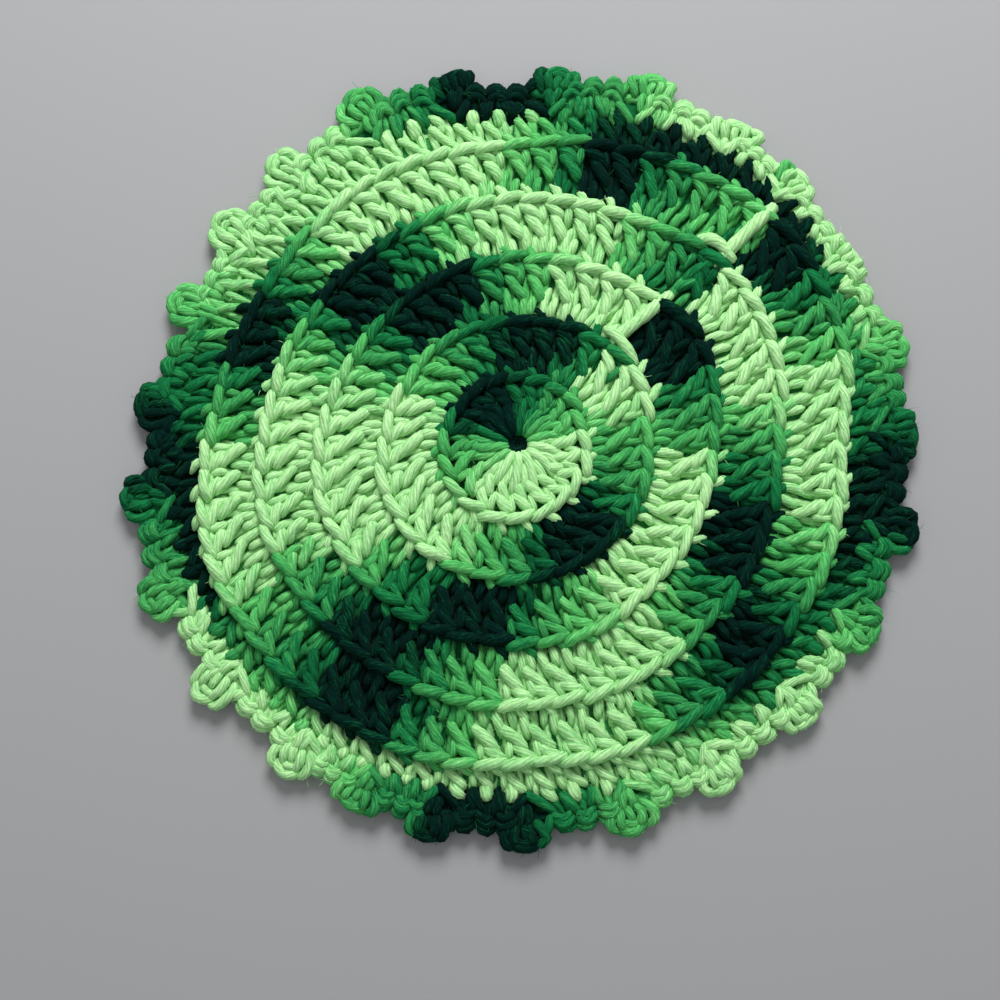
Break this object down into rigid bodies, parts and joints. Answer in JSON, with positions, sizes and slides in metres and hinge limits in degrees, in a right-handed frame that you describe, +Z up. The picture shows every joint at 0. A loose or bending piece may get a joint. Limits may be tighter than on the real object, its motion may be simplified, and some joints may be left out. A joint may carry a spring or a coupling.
{
  "type": "crocheted pot holder",
  "caption": "Flat round crocheted pot holder with raised concentric ridges and a picot edge, for holding or standing hot dishes",
  "frame": {"origin": "under the middle of the mat's outline, on the surface it lies on", "axes": "+Z up through the mat's thickness, right side up; +X to the right and +Y away from the viewer as in the picture"},
  "size_m": [0.1812, 0.1834, 0.0063],
  "materials": {
    "variegated_cotton": "matte yarn"
  },
  "bodies": {
    "root": {"crocheted_mat": "variegated_cotton"}
  },
  "joints": []
}
